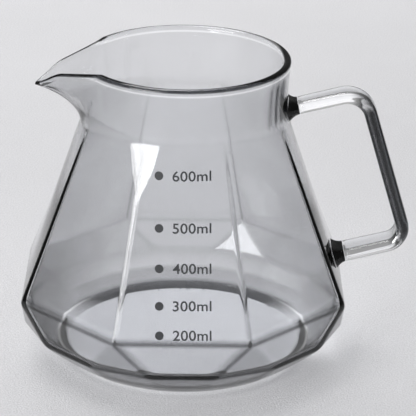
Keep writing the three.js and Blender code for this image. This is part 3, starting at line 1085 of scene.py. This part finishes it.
def seal_mesh(name, handle, skin, height, width):
    """The strap's own outline at the strap, spreading onto the wall."""
    root = arm_root(handle, skin, height)
    spread = root.set(strap_outline(handle, width, handle.seal_flare))
    depth = (seat_on_wall(skin, handle.seal_gap, spread, root.along) - spread) @ root.along
    rows = []
    for share in np.linspace(0, 1, SEAL_RINGS + 1):
        row = root.set(strap_outline(handle, width, handle.seal_flare * share * share))
        rows.append(row + mix(handle.seal_length, depth, share)[:, None] * root.along)
    for share in np.linspace(1, 0, SEAT_RINGS + 1)[1:-1]:
        row = root.set(strap_outline(handle, width, handle.seal_flare) * share)
        rows.append(seat_on_wall(skin, handle.seal_gap, row, root.along))
    middle = seat_on_wall(skin, handle.seal_gap, root.middle[None, :], root.along)[0]
    rows = [row[::-1] for row in rows]
    return rings_mesh(name, rows, root.middle + root.along * handle.seal_length, middle)


class CARAFE_OT_seals(bpy.types.Operator):
    """Seal both ends of the strap to the wall"""

    bl_idname = "carafe.seals"
    bl_label = "Handle seals"

    def execute(self, context):
        carafe = context.scene.carafe
        handle = carafe.handle
        skin = outer_skin(carafe.vessel)
        finish = glass_finish("fused_glass", carafe.colours, SEAL_RIPPLE, carafe.colours.seal_density)
        upper_height = carafe.vessel.rim_height - handle.upper_drop
        upper = seal_mesh("upper_seal", handle, skin, upper_height, handle.top_width)
        place_piece("upper_seal", upper, finish, "seal_glass", "upper_weld")
        lower = seal_mesh("lower_seal", handle, skin, handle.lower_height, handle.bottom_width)
        place_piece("lower_seal", lower, finish, "seal_glass", "lower_weld")
        return {"FINISHED"}


DOT_COLUMNS = 64
DOT_RINGS = ((0.5, 0.0), (0.97, 0.0), (1.0, 0.3), (1.0, 0.7), (0.96, 1.0), (0.5, 1.0))
LETTER_STEPS = 8
LETTER_SPACE = 1.04
PRINT_LIFT = 0.00003
DRAPE_STEP = 0.00005


def face_point(skin, x, z):
    """Outside of the front face at a place across it and a height."""
    return np.column_stack([x, -wall_reach(skin, x, z), z])


def draped(skin, flat, height):
    """Lays flat print on the face: x runs across it, y up it from a height, and z stands off the glass."""
    x = flat[:, 0]
    z = height + flat[:, 1] / skin.lean
    place = face_point(skin, x, z)
    across = face_point(skin, x + DRAPE_STEP, z) - place
    rising = face_point(skin, x, z + DRAPE_STEP) - place
    out = np.cross(across, rising)
    out /= np.linalg.norm(out, axis=1)[:, None]
    return place + out * (flat[:, 2:] + PRINT_LIFT)


def dot_rows(scale):
    """Rings of one dot, from the middle of its underside over the edge to its top."""
    turn = np.linspace(0, math.tau, DOT_COLUMNS, endpoint=False)
    rows = []
    for radius, height in DOT_RINGS:
        x = scale.dot_x + scale.dot_radius * radius * np.cos(turn)
        y = -scale.dot_radius * radius * np.sin(turn)
        rows.append(np.column_stack([x, y, np.full(DOT_COLUMNS, height * scale.ink)]))
    return rows


def mesh_points(mesh):
    return np.array([vertex.co for vertex in mesh.vertices])


def volume_mesh(name, words, scale):
    """One volume as a flat layer of ink, level with the mark's height and at its place across the face."""
    curve = bpy.data.curves.new(name, "FONT")
    curve.body = words
    curve.resolution_u = LETTER_STEPS
    curve.space_character = LETTER_SPACE
    curve.extrude = 0.5
    curve.offset = scale.weight
    writer = bpy.data.objects.new(name, curve)
    bpy.context.scene.collection.objects.link(writer)
    bpy.context.view_layer.update()
    settled = writer.evaluated_get(bpy.context.evaluated_depsgraph_get())
    mesh = bpy.data.meshes.new_from_object(settled)
    bpy.data.objects.remove(writer)
    bpy.data.curves.remove(curve)
    points = mesh_points(mesh)
    low = points.min(axis=0)
    size = points.max(axis=0) - low
    target = np.array([scale.text_width, scale.text_height, scale.ink])
    points = (points - low) / size * target + np.array([scale.text_x, -scale.text_height / 2, 0.0])
    mesh.vertices.foreach_set("co", points.ravel())
    return mesh


def turned(scale, flat, height):
    """Turns flat print about the middle mark, so that the scale leans a little on its face."""
    up = flat[:, 1] + height - scale.heights[2]
    x = flat[:, 0] - scale.tilt * up
    y = flat[:, 1] + scale.tilt * flat[:, 0]
    return np.column_stack([x, y, flat[:, 2]])


def printed(name, skin, scale, layers):
    """One mesh of ink out of several flat layers, each with the height of its mark."""
    points = []
    faces = []
    for mesh, height in layers:
        first = len(points)
        points += draped(skin, turned(scale, mesh_points(mesh), height), height).tolist()
        faces += [tuple(first + corner for corner in face.vertices) for face in mesh.polygons]
        bpy.data.meshes.remove(mesh)
    mesh = bpy.data.meshes.new(name)
    mesh.from_pydata(points, [], faces)
    mesh.validate()
    return mesh


class CARAFE_OT_scale(bpy.types.Operator):
    """Print the dots and the volumes on the front face"""

    bl_idname = "carafe.scale"
    bl_label = "Printed scale"

    def execute(self, context):
        carafe = context.scene.carafe
        scale = carafe.scale
        skin = outer_skin(carafe.vessel)
        dots = []
        volumes = []
        for step, height in enumerate(scale.heights):
            underside, top = (scale.dot_x, 0, 0), (scale.dot_x, 0, scale.ink)
            dots.append((rings_mesh("dot", dot_rows(scale), underside, top), height))
            words = f"{scale.first_volume + step * scale.volume_step}ml"
            volumes.append((volume_mesh("volume", words, scale), height))
        finish = ink_finish(carafe.colours)
        place_piece("scale_dots", printed("scale_dots", skin, scale, dots), finish, None)
        place_piece("scale_volumes", printed("scale_volumes", skin, scale, volumes), finish, None)
        return {"FINISHED"}


FLOOR_REACH = 3.0
FLOOR_RINGS = 24
FLOOR_COLUMNS = 96
FLOOR_DROP = 0.0001
SENSOR_WIDTH = 36.0
NEAREST_SEEN = 0.01

# Each lamp's name, place, aim, width and height, the setting of its power, and the rays that don't see it.
LAMPS = (
    ("back_panel", (0.03, 1.25, 0.49), (0, 0, 0.05), (1.5, 0.84), "back_light", ("transmission", "glossy")),
    ("key_panel", (-0.75, -0.80, 0.36), (0, 0, 0.06), (0.67, 0.6), "key_light", ()),
    ("top_panel", (-0.34, 0.30, 1.35), (0, 0, 0.05), (0.7, 0.7), "top_light", ("transmission",)),
)


def add_lamp(name, place, aim, size, power, unseen):
    light = bpy.data.lights.new(name, "AREA")
    light.shape = "RECTANGLE"
    light.size, light.size_y = size
    light.energy = power
    lamp = bpy.data.objects.new(name, light)
    lamp.location = place
    lamp.rotation_euler = (Vector(aim) - Vector(place)).to_track_quat("-Z", "Y").to_euler()
    for rays in unseen:
        setattr(lamp, f"visible_{rays}", False)
    bpy.context.scene.collection.objects.link(lamp)


def add_camera(stage):
    pitch, yaw, roll = stage.camera_turn
    ahead = Vector((math.sin(yaw) * math.cos(pitch), math.cos(yaw) * math.cos(pitch), -math.sin(pitch)))
    right = Vector((math.cos(yaw), -math.sin(yaw), 0))
    up = right.cross(ahead)
    rolled_right = math.cos(roll) * right + math.sin(roll) * up
    rolled_up = math.cos(roll) * up - math.sin(roll) * right
    camera = bpy.data.cameras.new("camera")
    camera.sensor_fit = "HORIZONTAL"
    camera.sensor_width = SENSOR_WIDTH
    camera.lens = stage.lens
    camera.clip_start = NEAREST_SEEN
    holder = bpy.data.objects.new("camera", camera)
    matrix = Matrix((rolled_right, rolled_up, -ahead)).transposed().to_4x4()
    matrix.translation = Vector(stage.camera_place)
    holder.matrix_world = matrix
    bpy.context.scene.collection.objects.link(holder)
    bpy.context.scene.camera = holder


def add_floor(stage):
    """A round board, its rings closest together under the carafe."""
    turn = np.linspace(math.tau, 0, FLOOR_COLUMNS, endpoint=False)
    circle = np.column_stack([np.cos(turn), np.sin(turn), np.zeros(FLOOR_COLUMNS)])
    rings = [FLOOR_REACH * (number / FLOOR_RINGS) ** 2 * circle for number in range(1, FLOOR_RINGS + 1)]
    mesh = rings_mesh("floor", rings, (0, 0, 0))
    mesh.materials.append(floor_finish(stage.floor))
    floor = bpy.data.objects.new("floor", mesh)
    floor.location.z = -FLOOR_DROP
    bpy.context.scene.collection.objects.link(floor)


def add_room(scene, brightness):
    world = bpy.data.worlds.new("room")
    world.use_nodes = True
    background = world.node_tree.nodes["Background"]
    background.inputs["Color"].default_value = (*WHITE, 1.0)
    background.inputs["Strength"].default_value = brightness
    scene.world = world


class CARAFE_OT_stage(bpy.types.Operator):
    """Set the floor, the lights and the camera"""

    bl_idname = "carafe.stage"
    bl_label = "Stage"

    def execute(self, context):
        stage = context.scene.carafe.stage
        add_camera(stage)
        add_floor(stage)
        for name, place, aim, size, power, unseen in LAMPS:
            add_lamp(name, place, aim, size, getattr(stage, power), unseen)
        add_room(context.scene, stage.surroundings)
        context.scene.view_settings.view_transform = "Standard"
        return {"FINISHED"}


class CARAFE_PT_panel(bpy.types.Panel):
    """Lists the carafe's pieces and their sizes"""

    bl_idname = "CARAFE_PT_panel"
    bl_label = "Glass Carafe"
    bl_space_type = "VIEW_3D"
    bl_region_type = "UI"
    bl_category = "Carafe"

    def draw(self, context):
        carafe = context.scene.carafe
        for operator, groups in PANEL_ROWS:
            box = self.layout.box()
            box.operator(operator)
            for group in groups:
                settings = getattr(carafe, group)
                for key in type(settings).__annotations__:
                    box.prop(settings, key)


PANEL_ROWS = (
    ("carafe.vessel", ("vessel", "lip", "edges", "colours")),
    ("carafe.strap", ("handle",)),
    ("carafe.seals", ()),
    ("carafe.scale", ("scale",)),
    ("carafe.stage", ("stage",)),
)

CLASSES = (
    VesselSizes,
    EdgeShades,
    LipSizes,
    HandleSizes,
    ScaleSizes,
    CarafeColours,
    StageSettings,
    Carafe,
    CARAFE_OT_vessel,
    CARAFE_OT_strap,
    CARAFE_OT_seals,
    CARAFE_OT_scale,
    CARAFE_OT_stage,
    CARAFE_PT_panel,
)


def register():
    for kind in CLASSES:
        bpy.utils.register_class(kind)
    bpy.types.Scene.carafe = PointerProperty(name="Carafe", description="All settings", type=Carafe)


def unregister():
    del bpy.types.Scene.carafe
    for kind in reversed(CLASSES):
        bpy.utils.unregister_class(kind)


def main():
    register()
    bpy.ops.carafe.vessel()
    bpy.ops.carafe.strap()
    bpy.ops.carafe.seals()
    bpy.ops.carafe.scale()
    bpy.ops.carafe.stage()


if __name__ == "__main__":
    main()
